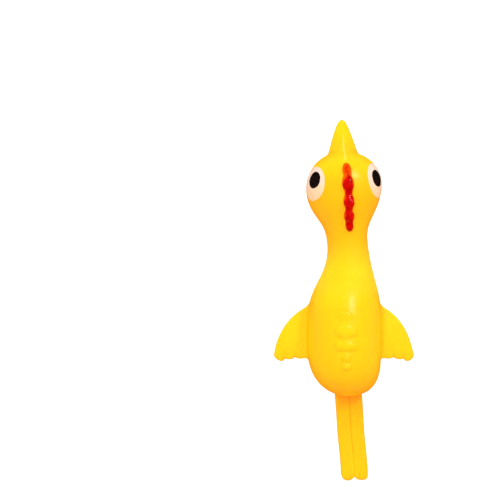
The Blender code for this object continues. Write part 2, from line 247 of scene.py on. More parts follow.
def smooth_curve(places, values):
    """A curve through the points, with level ends and no kinks, as a function of place."""
    x, y = np.array(places, float), np.array(values, float)
    gap = np.diff(x)
    rise = np.diff(y) / gap
    matrix = np.eye(len(x))
    target = np.zeros(len(x))
    for i in range(1, len(x) - 1):
        matrix[i, i - 1 : i + 2] = gap[i], 2 * (gap[i - 1] + gap[i]), gap[i - 1]
        target[i] = 3 * (gap[i] * rise[i - 1] + gap[i - 1] * rise[i])
    slope = np.linalg.solve(matrix, target)
    fine = np.linspace(x[0], x[-1], 2400)
    i = np.clip(np.searchsorted(x, fine, side="right") - 1, 0, len(gap) - 1)
    t = (fine - x[i]) / gap[i]
    ease = t * t * (3 - 2 * t)
    table = y[i] + (y[i + 1] - y[i]) * ease
    table += gap[i] * (slope[i] * t * (1 - t) ** 2 - slope[i + 1] * t * t * (1 - t))
    return lambda place: np.interp(place, fine, table)


half_width_at, half_height_at, centre_z_at = (
    smooth_curve([row[0] for row in PROFILE], [row[k] for row in PROFILE]) for k in (1, 2, 3)
)
sway_at = smooth_curve(*zip(*SWAY))
lean_at = smooth_curve(*zip(*LEAN))
skew_at = smooth_curve(*zip(*SKEW))
RUMP_Y, HEAD_Y = PROFILE[0][0], PROFILE[-1][0]


def join(a, b, radius):
    """Both shapes as one, with a soft hollow of about that radius where they meet."""
    overlap = np.maximum(radius - np.abs(a - b), 0.0) / radius
    return np.minimum(a, b) - overlap * overlap * radius / 4


def cut(a, b, radius):
    """The first shape without the second, with a rounded rim."""
    return -join(-a, b, radius)


def soft_abs(value, rounding):
    return np.sqrt(value * value + rounding * rounding) - rounding


def trunk(p):
    """Head, neck and body."""
    x, y, z = p.T
    place = np.clip(y, RUMP_Y, HEAD_Y)
    wide, high = half_width_at(place), half_height_at(place)
    up = z - centre_z_at(place)
    across = np.maximum(np.sqrt((x / wide) ** 2 + (up / high) ** 2), 1e-4)
    step = 0.2
    taper = (half_width_at(place + step) - half_width_at(place - step)) / (2 * step * wide)
    steep = np.sqrt((x / wide**2) ** 2 + (up / high**2) ** 2) / across
    steep = np.sqrt(steep**2 + (across * taper) ** 2)
    length = np.where(y > 0, NOSE_LENGTH, RUMP_LENGTH)
    lift = np.clip(up / high / across, 0, 1) ** 2
    forehead = NOSE_BLUNTNESS + (FOREHEAD_BLUNTNESS - NOSE_BLUNTNESS) * lift
    blunt = np.where(y > 0, forehead, RUMP_BLUNTNESS)
    beyond = np.abs(y - place) / length
    size = (across**blunt + beyond**blunt) ** (1 / blunt)
    slope = (across / size) ** (blunt - 1) * steep, (beyond / size) ** (blunt - 1) / length
    return (size - 1) / np.hypot(*slope)


def top_of_trunk(x, y):
    """Height of the back at x and y."""
    place = np.clip(y, RUMP_Y, HEAD_Y)
    length, blunt = (NOSE_LENGTH, FOREHEAD_BLUNTNESS) if y > 0 else (RUMP_LENGTH, RUMP_BLUNTNESS)
    share = (1 - (abs(y - place) / length) ** blunt) ** (1 / blunt)
    level = math.sqrt(max(share**2 - (x / half_width_at(place)) ** 2, 0.0))
    return float(centre_z_at(place) + half_height_at(place) * level)


def ellipsoid(p, centre, radii, turn=0.0):
    """An ellipsoid, turned about the vertical."""
    q = p - np.array(centre)
    c, s = math.cos(turn), math.sin(turn)
    q = np.stack([c * q[:, 0] + s * q[:, 1], c * q[:, 1] - s * q[:, 0], q[:, 2]], axis=1)
    radii = np.array(radii)
    size = np.linalg.norm(q / radii, axis=1)
    slope = np.linalg.norm(q / radii**2, axis=1)
    return size * (size - 1) / np.maximum(slope, 1e-6)


def beak(p):
    """Pointed beak with a ridge along its top, which rises towards the forehead."""
    x, y, z = p.T
    behind = BEAK_TIP_Y - y
    up = (z - BEAK_Z) / BEAK_HEIGHT_SHARE
    up = np.where(up > 0, up / (1 + BEAK_BRIDGE * np.clip(behind, 0, BEAK_BRIDGE_END)), up)
    power = np.where(up > 0, BEAK_RIDGE, 2.0)
    side = soft_abs(x, BEAK_RIDGE_SOFTNESS)
    radius = (side**power + np.abs(up) ** power) ** (1 / power)
    room = BEAK_SPREAD * behind + BEAK_FLARE * behind**2
    slope = np.sqrt(4 * radius**2 + (BEAK_SPREAD + 2 * BEAK_FLARE * behind) ** 2)
    crest = np.clip(up, 0, 1) * np.exp(-((x / BEAK_CREST_WIDTH) ** 2))
    return (radius**2 - room) / slope - BEAK_CREST_RISE * crest


def mouth_line(p):
    """A thin groove along each side of the beak, from near its tip back to the cheeks."""
    x, y, z = p.T
    behind = BEAK_TIP_Y - y
    room = np.sqrt(np.maximum(BEAK_SPREAD * behind + BEAK_FLARE * behind**2, 0.0))
    height = BEAK_Z - MOUTH_DROP - MOUTH_SLOPE * behind
    groove = np.hypot(np.abs(x) - room, (z - height) / MOUTH_FLATNESS) - MOUTH_RADIUS
    ends = np.maximum(MOUTH_START - behind, behind - MOUTH_END) * MOUTH_FADE
    return groove + np.maximum(ends, 0.0)


def eye_direction(rise):
    rise, forward = math.radians(rise), math.radians(EYE_FORWARD)
    level = math.cos(forward)
    return np.array([math.cos(rise) * level, math.sin(forward), math.sin(rise) * level])


def eye_bulge(p):
    """A low round bulge under each eye."""
    q = np.abs(p)
    reach = half_width_at(HEAD_Y) + EYE_BULGE_PROUD - EYE_BULGE_RADIUS
    centre = np.array([0.0, EYE_BULGE_Y, centre_z_at(HEAD_Y)]) + reach * eye_direction(EYE_RISE)
    return np.linalg.norm(q - centre, axis=1) - EYE_BULGE_RADIUS


def tail_feathers(p):
    """Five beads down the lower back. Petals hang on both sides of the second and third."""
    found = np.full(len(p), FAR)
    for y, half_length, half_width, rise, petals in TAIL_BEADS:
        bead = ellipsoid(p, (0.0, y, top_of_trunk(0.0, y) - 0.1), (half_width, half_length, rise))
        if petals:
            out, petal_y = PETAL_PLACE[0], y + PETAL_PLACE[1]
            size = (PETAL_SIZE[0], PETAL_SIZE[1], rise * PETAL_SIZE[2])
            for sign in (-1, 1):
                centre = (sign * out, petal_y, top_of_trunk(out, petal_y) - 0.2)
                bead = join(bead, ellipsoid(p, centre, size, sign * PETAL_TURN), PETAL_JOIN)
        found = join(found, bead, TAIL_JOIN)
    return found


def comb(p):
    """Five oval beads along the crown, each a cluster of smaller bumps."""
    found = np.full(len(p), FAR)
    for number, (y, half_length, half_width) in enumerate(COMB_BEADS):
        foot = top_of_trunk(0.0, y)
        bead = ellipsoid(p, (0.0, y, foot), (half_width, half_length * 1.3, COMB_RISE * 0.8))
        for step in range(COMB_BUMPS):
            turn = 2 * math.pi * step / COMB_BUMPS + COMB_BUMP_TURN * number
            out, rise = (0.5, 0.42) if step else (0.1, 0.62)
            centre = (
                half_width * out * math.sin(turn),
                y + half_length * out * math.cos(turn),
                foot + COMB_RISE * rise,
            )
            size = half_width * (0.47 + 0.05 * math.cos(3.0 * turn))
            bump = ellipsoid(p, centre, (size, size * 1.15, size))
            bead = join(bead, bump, COMB_BUMP_JOIN)
        found = join(found, bead, COMB_BEAD_JOIN)
    beside = COMB_RIBBON_HALF_WIDTH - soft_abs(p[:, 0], 0.3)
    ribbon = cut(trunk(p) - COMB_RIBBON_RISE, beside, 0.5)
    front_y, rear_y = COMB_BEADS[0][0], COMB_BEADS[-1][0]
    ends = np.abs(p[:, 1] - (front_y + rear_y) / 2) - (front_y - rear_y) / 2
    return join(found, cut(ribbon, -ends, 0.5), COMB_BEAD_JOIN)


def comb_bed(p):
    """The moulding under the comb's paint."""
    return comb(p) + COMB_PAINT_DEPTH


def wing_outline():
    """Out along the bowed front edge to the tip, back along three scallops, and into the body."""
    points = []
    root = (0.0, WING_ROOT_Y)
    for t in np.linspace(0, 1, 15):
        near, middle, far = (1 - t) ** 2, 2 * t * (1 - t), t * t
        points.append([near * root[k] + middle * WING_BOW[k] + far * WING_TIP[k] for k in (0, 1)])
    corners = [WING_TIP, *WING_NOTCHES, (0.0, WING_REAR_Y)]
    for (x0, y0), (x1, y1), depth in zip(corners, corners[1:], WING_SCALLOPS):
        for t in (1 - np.cos(np.linspace(0, math.pi, 10)[1:])) / 2:
            bulge = depth * math.sqrt(4 * t * (1 - t))
            points.append([x0 + (x1 - x0) * t, y0 + (y1 - y0) * t - bulge])
    points += [[-WING_ROOT_DEPTH, WING_REAR_Y], [-WING_ROOT_DEPTH, WING_ROOT_Y]]
    return np.array(points)


def polygon(p, corners):
    """Distance to a polygon's outline in its plane, negative inside."""
    nearest = np.full(len(p), 1e9)
    crossings = np.zeros(len(p), int)
    for a, b in zip(corners, np.roll(corners, -1, axis=0)):
        run, off = b - a, p - a
        t = np.clip(off @ run / (run @ run), 0, 1)
        nearest = np.minimum(nearest, ((off - t[:, None] * run) ** 2).sum(1))
        spans = (a[1] <= p[:, 1]) != (b[1] <= p[:, 1])
        if a[1] != b[1]:
            level = a[0] + (p[:, 1] - a[1]) / (b[1] - a[1]) * run[0]
            crossings += spans & (p[:, 0] < level)
    return np.sqrt(nearest) * np.where(crossings % 2 == 1, -1, 1)


def wings(p):
    """Flat wings, thick in the middle and round at the rim, with a groove at each notch."""
    c, s = math.cos(WING_DROOP), math.sin(WING_DROOP)
    out = (np.abs(p[:, 0]) - WING_HINGE[0]) / c
    up = (p[:, 2] - WING_HINGE[2]) * c + out * c * s
    flat = np.stack([out, p[:, 1]], axis=1)
    rim = polygon(flat, wing_outline())
    half = WING_RIM_HALF + WING_SWELL * (1 - np.exp(np.minimum(rim, 0.0) / WING_SWELL_REACH))
    line = WING_GROOVE_LINE
    for notch in WING_NOTCHES:
        off = flat - np.array(notch)
        along = off @ line
        away = np.abs(off[:, 0] * line[1] - off[:, 1] * line[0])
        fade = np.clip(1 - along / WING_GROOVE_LENGTH, 0, 1) * (along > WING_GROOVE_START)
        half -= WING_GROOVE_DEPTH * np.exp(-((away / WING_GROOVE_WIDTH) ** 2)) * fade
    wide, high = rim + WING_ROUNDING, np.abs(up) - half + WING_ROUNDING
    outside = np.hypot(np.maximum(wide, 0.0), np.maximum(high, 0.0))
    return np.minimum(np.maximum(wide, high), 0.0) + outside - WING_ROUNDING


def legs(p):
    """Both legs and feet, lying against each other. Each foot ends in three short toes."""
    off = p - np.array([0.0, HIP[1], HIP[2]])
    along = off @ LEG_LINE
    up = off @ np.array([0.0, LEG_LINE[2], -LEG_LINE[1]])
    ends = (np.array(FOOT_ENDS[side])[:, None] for side in ("right", "left"))
    longer, end, blunt = np.where(p[:, 0] > 0, *ends)
    side = np.abs(p[:, 0]) - LEG_X
    foot = np.clip((along - (LEG_LENGTH - FOOT_LENGTH)) / FOOT_EASE, 0, 1)
    high = LEG_HALF_HEIGHT + FOOT_SWELL * foot * foot * (3 - 2 * foot)
    inner = np.clip(-side / LEG_HALF_WIDTH, 0, 1)
    inner_power = LEG_INNER_SQUARENESS + (FOOT_INNER_SQUARENESS - LEG_INNER_SQUARENESS) * foot
    power = LEG_SQUARENESS + (inner_power - LEG_SQUARENESS) * inner * inner * (3 - 2 * inner)
    blunt = blunt + (FOOT_INNER_BLUNTNESS - blunt) * inner
    section = (np.abs(side / LEG_HALF_WIDTH) ** power + np.abs(up / high) ** power) ** (1 / power)
    beyond = np.maximum(along - (LEG_LENGTH + longer - end), 0.0) / end
    size = (section**blunt + beyond**blunt) ** (1 / blunt)
    leg = (size - 1) * LEG_HALF_HEIGHT
    groove = np.abs(np.abs(side) - LEG_HALF_WIDTH / 3)
    depth = np.clip((along - LEG_LENGTH + TOE_LENGTH) / (TOE_LENGTH / 2), 0, 1)
    depth *= np.clip((up - 0.2) / 0.8, 0, 1)
    leg += TOE_GROOVE_DEPTH * depth * np.exp(-((groove / TOE_GROOVE_WIDTH) ** 2))
    return np.maximum(leg, -along - LEG_HIDDEN_LENGTH)


def finger_pocket(p):
    """Oval pocket with a round end, running up into the head from below."""
    length = np.linalg.norm(POCKET_END - POCKET_MOUTH)
    line = (POCKET_END - POCKET_MOUTH) / length
    off = p - POCKET_MOUTH
    across = off @ np.array([0.0, line[2], -line[1]])
    past = np.maximum(off @ line - length, 0.0)
    size = np.sqrt((p[:, 0] / POCKET_HALF_WIDTH) ** 2 + (across**2 + past**2) / POCKET_HALF_DEPTH**2)
    return (size - 1) * POCKET_HALF_DEPTH


def near(p, shape, low, high):
    """A shape's distance, worked out only inside a box around it and large elsewhere."""
    found = np.full(len(p), FAR)
    inside = np.all((p > low) & (p < high), axis=1)
    if inside.any():
        found[inside] = shape(p[inside])
    return found


# What is added to the skin and cut from it: a box around it, and the radius of the join or rim
ADDED = [
    (eye_bulge, (-14, 20, 2), (14, 44, 24), 1.5),
    (tail_feathers, (-7, -24, 17), (7, 1, 30), 0.45),
    (comb_bed, (-4, 16, 14), (4, 41, 28), 0.5),
    (wings, (-24, -22, 4), (24, 4, 17), 1.5),
    (legs, (-8, -56, -4), (8, -20, 16), 0.7),
]
REMOVED = [
    (mouth_line, (-9, 36, 4), (9, 52, 16), 0.25),
    (finger_pocket, (-10, 14, -6), (10, 40, 20), 0.9),
]
BEAK_BOX = (-9, 35, 0), (9, 56, 22)
# The beak meets the head in a tighter hollow below than above
BEAK_JOIN_BELOW, BEAK_JOIN_MORE_ABOVE = 0.9, 1.9
FLAT_EDGE_RADIUS = 0.6


def skin(p):
    """The whole moulding, lying flat on z = 0."""
    above = np.clip((p[:, 2] - BEAK_Z - 1.0) / 2.5, 0, 1)
    found = join(trunk(p), near(p, beak, *BEAK_BOX), BEAK_JOIN_BELOW + BEAK_JOIN_MORE_ABOVE * above)
    for shape, low, high, radius in ADDED:
        found = join(found, near(p, shape, low, high), radius)
    for shape, low, high, radius in REMOVED:
        found = cut(found, near(p, shape, low, high), radius)
    return -join(-found, p[:, 2], FLAT_EDGE_RADIUS)


# ---------------------------------------------------------------- meshing

SETTLE_ROUNDS, SETTLE_SHARE = 2, 0.6
# Distances from the skin at which hidden places are looked for, with their weights
CAVITY_REACHES = [(0.5, 0.3), (1.2, 0.35), (3.0, 0.35)]
THIN_DEPTHS = (1.5, 2.6)
HEM_DEPTH = 0.05
# Wall down the inner side of a leg: step along it, levels up it, gap from the middle, and how much painted
# shade and painted light of thin rubber it gets
WALL_STEP, WALL_LEVELS, WALL_GAP, WALL_PAINTED_LIGHT = 0.6, 7, 0.02, 0.5


def gradient(shape, p, step=0.02):
    slopes = []
    for axis in range(3):
        move = np.zeros(3)
        move[axis] = step
        slopes.append((shape(p + move) - shape(p - move)) / (2 * step))
    return np.stack(slopes, axis=1)


def grid_points(axes, mask):
    index = np.nonzero(mask)
    return np.stack([axis[i] for axis, i in zip(axes, index)], axis=1)


def field_on_grid(shape, axes, coarse_step):
    """The distance on a fine grid, worked out exactly only where the surface is near."""
    coarse = [np.arange(axis[0], axis[-1] + 2 * coarse_step, coarse_step) for axis in axes]
    size = tuple(len(axis) for axis in coarse)
    values = shape(grid_points(coarse, np.ones(size, bool))).reshape(size)
    close = np.abs(values) < coarse_step * 2.0
    near_cell = np.zeros(tuple(n - 1 for n in size), bool)
    for corner in np.ndindex(2, 2, 2):
        near_cell |= close[tuple(slice(c, c + n - 1) for c, n in zip(corner, size))]
    cell = np.ix_(*[((axis - axis[0]) / coarse_step).astype(int) for axis in axes])
    field = values[cell]
    band = near_cell[cell]
    field[band] = shape(grid_points(axes, band))
    return field


def surface_net(field, axes):
    """Corners and four-sided faces of the surface where the field changes sign."""
    inside = field < 0
    cells = tuple(n - 1 for n in field.shape)
    count = np.zeros(cells, int)
    for corner in np.ndindex(2, 2, 2):
        count += inside[tuple(slice(c, c + n) for c, n in zip(corner, cells))]
    mixed = (count > 0) & (count < 8)
    number = np.full(cells, -1)
    number[mixed] = np.arange(mixed.sum())
    place = np.argwhere(mixed)
    total, hits = np.zeros(place.shape), np.zeros(len(place))
    faces = []
    for axis in range(3):
        unit = np.eye(3, dtype=int)[axis]
        u, v = np.eye(3, dtype=int)[(axis + 1) % 3], np.eye(3, dtype=int)[(axis + 2) % 3]
        for i, j in ((0, 0), (1, 0), (1, 1), (0, 1)):
            start = place + i * u + j * v
            a, b = field[tuple(start.T)], field[tuple((start + unit).T)]
            crossing = (a < 0) != (b < 0)
            share = np.where(crossing, a / np.where(crossing, a - b, 1), 0)
            total += np.where(crossing[:, None], start + share[:, None] * unit, 0)
            hits += crossing
        first = tuple(slice(0, n - k) for n, k in zip(field.shape, unit))
        second = tuple(slice(k, n) for n, k in zip(field.shape, unit))
        edge = np.argwhere(inside[first] != inside[second])
        ring = [number[tuple((edge - i * u - j * v).T)] for i, j in ((0, 0), (1, 0), (1, 1), (0, 1))]
        quads = np.stack(ring, axis=1)
        outward = inside[tuple(edge.T)]
        faces.append(np.where(outward[:, None], quads, quads[:, ::-1]))
    corners = total / hits[:, None]
    corners = np.stack([np.interp(corners[:, k], np.arange(len(axes[k])), axes[k]) for k in range(3)], axis=1)
    return corners, np.concatenate(faces)


def settle(shape, points, faces):
    """Evens the faces out along the surface and puts every corner exactly on it."""
    ends = np.concatenate([faces[:, [i, (i + 1) % 4]] for i in range(4)])
    ends = np.concatenate([ends, ends[:, ::-1]])
    count = np.bincount(ends[:, 0], minlength=len(points))[:, None]
    for _ in range(SETTLE_ROUNDS):
        sums = [np.bincount(ends[:, 0], points[ends[:, 1], k], len(points)) for k in range(3)]
        move = np.stack(sums, axis=1) / count - points
        slope = gradient(shape, points)
        slope /= np.linalg.norm(slope, axis=1)[:, None]
        points = points + SETTLE_SHARE * (move - (move * slope).sum(1)[:, None] * slope)
        slope = gradient(shape, points)
        points = points - (shape(points) / (slope**2).sum(1))[:, None] * slope
    return points


def meshed(shape, axes, coarse_step=1.0):
    """Corners, four-sided faces and corner normals of a shape's surface."""
    points, faces = surface_net(field_on_grid(shape, axes, coarse_step), axes)
    points = settle(shape, points, faces)
    normals = gradient(shape, points)
    return points, faces, normals / np.linalg.norm(normals, axis=1)[:, None]


def swayed(points, normals):
    """Shifts points to where the soft toy lies, and turns their normals to match."""
    points, normals = points.copy(), normals.copy()
    y = points[:, 1].copy()
    high = points[:, 2] - centre_z_at(np.clip(y, RUMP_Y, HEAD_Y))
    step = 0.1
    shift = [sway_at(y + k) + lean_at(y + k) * high for k in (-step, 0.0, step)]
    points[:, 1] += skew_at(y) * points[:, 0]
    points[:, 0] += shift[1]
    across = normals[:, 0].copy()
    normals[:, 0] -= skew_at(y) * normals[:, 1]
    normals[:, 1] -= (shift[2] - shift[0]) / (2 * step) * across
    normals[:, 2] -= lean_at(y) * across
    return points, normals / np.linalg.norm(normals, axis=1)[:, None]


def tints(shape, points, normals):
    """How hidden each point is from the light, and how thin the rubber is under it, from 0 to 1."""
    cavity = np.zeros(len(points))
    for reach, weight in CAVITY_REACHES:
        cavity += weight * np.clip(1 - shape(points + reach * normals) / reach, 0, 1.5)
    thin = np.zeros(len(points))
    for depth in THIN_DEPTHS:
        thin += 0.5 * np.clip(1 + shape(points - depth * normals) / depth, 0, 1)
    return {"cavity": np.clip(cavity, 0, 1), "thin": thin}


def make_piece(name, points, faces, normals, values, material, slot):
    """A smooth mesh piece, with one number per corner for each of the given values."""
    mesh = bpy.data.meshes.new(name)
    shifted, turned = swayed(points, normals)
    mesh.from_pydata((shifted * MM).tolist(), [], [list(face) for face in faces])
    mesh.shade_smooth()
    mesh.normals_split_custom_set_from_vertices(turned.tolist())
    place = mesh.attributes.new("place", "FLOAT_VECTOR", "POINT")
    place.data.foreach_set("vector", points.astype(np.float32).ravel())
    for key, numbers in values.items():
        mesh.attributes.new(key, "FLOAT", "POINT").data.foreach_set("value", numbers.astype(np.float32))
    mesh.materials.append(material)
    piece = bpy.data.objects.new(name, mesh)
    bpy.context.scene.collection.objects.link(piece)
    return piece


def with_inner_wall(mesh, sign, start, end):
    """A leg's skin with a flat wall down the side that lies against the other leg."""
    points, faces, normals, values = mesh
    middle = np.arange(start, end, WALL_STEP)[:, None] * LEG_LINE + (sign * WALL_GAP, HIP[1], HIP[2])
    middle = middle[skin(middle) < -HEM_DEPTH]
    up = np.array([0.0, LEG_LINE[2], -LEG_LINE[1]])
    reach = []
    for way in (-up, up):
        inside, outside = np.zeros(len(middle)), np.full(len(middle), 1.1 * LEG_HALF_HEIGHT)
        for _ in range(12):
            half = (inside + outside) / 2
            hit = skin(middle + half[:, None] * way) < 0
            inside, outside = np.where(hit, half, inside), np.where(hit, outside, half)
        reach.append(inside)
    share = (np.linspace(-1, 1, WALL_LEVELS) + 1) / 2
    height = share * (reach[0] + reach[1])[:, None] - reach[0][:, None]
    wall = (middle[:, None, :] + height[..., None] * up).reshape(-1, 3)
    row, column = np.mgrid[0 : len(middle) - 1, 0 : WALL_LEVELS - 1].reshape(2, -1)
    first = len(points) + row * WALL_LEVELS + column
    quads = np.stack([first, first + 1, first + WALL_LEVELS + 1, first + WALL_LEVELS], axis=1)
    return (
        np.concatenate([points, wall]),
        np.concatenate([faces, quads if sign < 0 else quads[:, ::-1]]),
        np.concatenate([normals, np.tile([-sign, 0.0, 0.0], (len(wall), 1))]),
        {key: np.concatenate([old, np.full(len(wall), WALL_PAINTED_LIGHT)]) for key, old in values.items()},
    )


def part_of_mesh(mask, points, faces, normals, values):
    """The masked faces, with a hem one face wide tucked under the pieces around them."""
    own = np.unique(faces[mask])
    wider = mask | np.isin(faces, own).any(axis=1)
    used, faces = np.unique(faces[wider], return_inverse=True)
    depth = np.where(np.isin(used, own), 0.0, HEM_DEPTH)
    points = points[used] - depth[:, None] * normals[used]
    return points, faces.reshape(-1, 4), normals[used], {key: v[used] for key, v in values.items()}


# ---------------------------------------------------------------- materials


class Nodes:
    """A material's node tree, with a short way to add and link nodes."""

    def __init__(self, name):
        self.material = bpy.data.materials.new(name)
        self.material.use_nodes = True
        self.tree = self.material.node_tree
        self.shader = self.tree.nodes["Principled BSDF"]

    def add(self, kind, settings=None, **inputs):
        node = self.tree.nodes.new(kind)
        for key, value in (settings or {}).items():
            setattr(node, key, value)
        for key, value in inputs.items():
            self.feed(node, key.replace("_", " "), value)
        return node

    def feed(self, node, key, value):
        socket = node.inputs[int(key)] if key.isdigit() else node.inputs[key]
        if isinstance(value, bpy.types.NodeSocket):
            self.tree.links.new(value, socket)
        else:
            socket.default_value = value

    def value(self, name):
        return self.add("ShaderNodeAttribute", {"attribute_name": name}).outputs["Fac"]

    def place(self):
        return self.add("ShaderNodeAttribute", {"attribute_name": "place"}).outputs["Vector"]

    def noise(self, scale, detail=3.0):
        node = self.add("ShaderNodeTexNoise", Vector=self.place(), Scale=scale, Detail=detail)
        return node.outputs["Fac"]

    def span(self, value, low, high, to_low=0.0, to_high=1.0):
        """Eases from one number to another while the value runs from low to high."""
        node = self.add("ShaderNodeMapRange", {"interpolation_type": "SMOOTHSTEP"}, Value=value)
        limits = {"From Min": low, "From Max": high, "To Min": to_low, "To Max": to_high}
        for key, number in limits.items():
            self.feed(node, key, number)
        return node.outputs["Result"]

    def band(self, axis, rise, fall):
        """1 along a stretch of an axis, easing in over one pair of places and out over another."""
        place = self.along(axis)
        return self.maths("MULTIPLY", self.span(place, *rise), self.span(place, *fall))

    def mix(self, share, a, b):
        node = self.add("ShaderNodeMix", {"data_type": "RGBA"})
        for index, value in ((0, share), (6, a), (7, b)):
            self.feed(node, str(index), value)
        return node.outputs[2]

    def maths(self, operation, a, b):
        node = self.add("ShaderNodeMath", {"operation": operation})
        self.feed(node, "0", a)
        self.feed(node, "1", b)
        return node.outputs[0]

    def bump(self, height, distance):
        node = self.add("ShaderNodeBump", Height=height, Distance=distance * MM)
        self.feed(self.shader, "Normal", node.outputs["Normal"])

    def along(self, axis):
        node = self.add("ShaderNodeSeparateXYZ", Vector=self.place())
        return node.outputs[axis]


# Where the neck is held, how far its dull patch reaches, and how much rougher it is
HELD_Y, HELD_REACH = NECK_TURN_Y - 1.0, (3.5, 8.0)
HELD_ROUGHNESS = 0.3
# Stretches of Y along which the painted highlight on the beak and the painted shade on the crown and rump
# come in and go out
RIDGE_HIGHLIGHT_BAND = (37.8, 39.5), (47.5, 43.0)
CROWN_SHADE_BAND = (8.0, 20.0), (38.0, 30.0)
RUMP_SHADE_BAND = (-12.0, -25.0), (-43.0, -27.0)
# How far each goes: the painted light of thin rubber, the painted beak highlight, and the painted shade on
# the crown, rump and in hollows
THIN_GLOW_SHARE, RIDGE_HIGHLIGHT_SHARE = 0.4, 0.6
CROWN_SHADE_SHARE, RUMP_SHADE_SHARE, HOLLOW_SHADE_SHARE = 0.62, 0.5, 0.48


def soft_surface(nodes, roughness, subsurface, radius, scale):
    """The settings that every colour of this rubber shares. It is duller at the neck, where it is held."""
    shader = nodes.shader
    shader.inputs["Metallic"].default_value = 0.0
    shader.inputs["IOR"].default_value = 1.47
    shader.inputs["Specular IOR Level"].default_value = 0.26
    shader.inputs["Subsurface Weight"].default_value = subsurface
    shader.inputs["Subsurface Radius"].default_value = radius
    shader.inputs["Subsurface Scale"].default_value = scale * MM
    base, spread = roughness
    away = nodes.maths("ABSOLUTE", nodes.maths("SUBTRACT", nodes.along("Y"), HELD_Y), 0.0)
    dull = nodes.span(away, *HELD_REACH, HELD_ROUGHNESS, 0.0)
    gloss = nodes.span(nodes.noise(0.35), 0.3, 0.7, base, base + spread)
    nodes.feed(shader, "Roughness", nodes.maths("ADD", gloss, dull))


def yellow_rubber():
    """Slightly clear yellow rubber. It is painted lemon where it is thin, as light shining through, and
    painted deeper amber as shade on the crown, rump and in hollows.

    A painted highlight runs as a pale line along the top of the beak.
    """
    nodes = Nodes("yellow_rubber")
    main, amber_tone_and_shade, painted_light_pale = (1.0, 0.49, 0.001, 1), (1.0, 0.34, 0.0, 1), (1.0, 0.54, 0.003, 1)
    painted_ridge_highlight = (1.0, 0.56, 0.07, 1)
    colour = nodes.mix(nodes.span(nodes.noise(0.09, 2.0), 0.35, 0.65, 0.0, 0.25), main, amber_tone_and_shade)
    # Painted light: thinner rubber is painted paler, as if lit through
    colour = nodes.mix(nodes.span(nodes.value("thin"), 0.0, 0.9, 0.0, THIN_GLOW_SHARE), colour, painted_light_pale)

    # Painted highlight: a pale line along the top of the beak, where light would catch its ridge
    off_middle = nodes.maths("ABSOLUTE", nodes.along("X"), 0.0)
    ridge_highlight = nodes.maths("MULTIPLY", nodes.span(off_middle, 0.5, 0.1), nodes.span(nodes.along("Z"), 11.5, 13.0))
    ridge_highlight = nodes.maths("MULTIPLY", ridge_highlight, nodes.band("Y", *RIDGE_HIGHLIGHT_BAND))
    colour = nodes.mix(nodes.maths("MULTIPLY", ridge_highlight, RIDGE_HIGHLIGHT_SHARE), colour, painted_ridge_highlight)

    # Painted shade: deeper amber on the crown and nape, on the rump and in hollows, where less light falls
    crown_shade = nodes.maths("MULTIPLY", nodes.band("Y", *CROWN_SHADE_BAND), CROWN_SHADE_SHARE)
    rump_shade = nodes.maths("MULTIPLY", nodes.band("Y", *RUMP_SHADE_BAND), RUMP_SHADE_SHARE)
    hollow_shade = nodes.span(nodes.value("cavity"), 0.08, 0.9, 0.0, HOLLOW_SHADE_SHARE)
    depth = nodes.maths("MAXIMUM", nodes.maths("MAXIMUM", crown_shade, rump_shade), hollow_shade)
    colour = nodes.mix(depth, colour, amber_tone_and_shade)
    nodes.feed(nodes.shader, "Base Color", colour)
    soft_surface(nodes, (0.285, 0.02), 0.3, (1.0, 0.4, 0.04), 1.2)
    grain = nodes.maths("ADD", nodes.noise(3.2, 4.0), nodes.maths("MULTIPLY", nodes.noise(0.8), 1.4))
    nodes.bump(grain, 0.015)
    return nodes.material


def red_paint():
    """Glossy red paint that thins to orange along its foot and on the front bead."""
    nodes = Nodes("red_paint")
    red, dark, orange = (0.46, 0.0015, 0.0004, 1), (0.33, 0.0, 0.001, 1), (0.68, 0.075, 0.0, 1)
    colour = nodes.mix(nodes.span(nodes.noise(0.9), 0.4, 0.7), red, dark)
    patches = nodes.span(nodes.noise(0.7), 0.35, 0.75, -0.25, 0.35)
    worn = nodes.span(nodes.maths("ADD", nodes.value("edge"), patches), 0.35, 1.0)
    colour = nodes.mix(worn, colour, orange)
    nodes.feed(nodes.shader, "Base Color", colour)
    soft_surface(nodes, (0.1, 0.05), 0.1, (1.0, 0.2, 0.05), 0.5)
    nodes.bump(nodes.noise(2.4), 0.015)
    return nodes.material


def white_paint():
    """Thin white paint, with painted warm shade towards the back of the eye."""
    nodes = Nodes("white_paint")
    white, warm_shade = (0.76, 0.53, 0.42, 1), (0.8, 0.5, 0.27, 1)
    # Painted warm shade: the white turns warmer towards the back of the eye
    shade_streak = nodes.maths("ADD", nodes.along("Y"), nodes.span(nodes.noise(0.45), 0.3, 0.7, -1.4, 1.4))
    colour = nodes.mix(nodes.span(shade_streak, 34.5, 29.0), white, warm_shade)
    nodes.feed(nodes.shader, "Base Color", colour)
    soft_surface(nodes, (0.3, 0.1), 0.1, (1.0, 0.6, 0.3), 0.4)
    nodes.bump(nodes.noise(2.2), 0.02)
    return nodes.material


def black_paint():
    """Black paint with fine pale specks of painted reflection."""
    nodes = Nodes("black_paint")
    black, painted_light_pale = (0.006, 0.0025, 0.002, 1), (0.07, 0.045, 0.035, 1)
    # Painted reflection: fine pale specks on the black
    reflection_speck = nodes.span(nodes.noise(4.5, 5.0), 0.6, 0.75)
    nodes.feed(nodes.shader, "Base Color", nodes.mix(reflection_speck, black, painted_light_pale))
    soft_surface(nodes, (0.22, 0.12), 0.0, (1.0, 1.0, 1.0), 0.1)
    nodes.bump(nodes.noise(3.0), 0.03)
    return nodes.material


# ---------------------------------------------------------------- pieces

SIDES = (("left", -1), ("right", 1))
NECK_SPLIT_Y = (NECK_TURN_Y + HEAD_NOD_Y) / 2
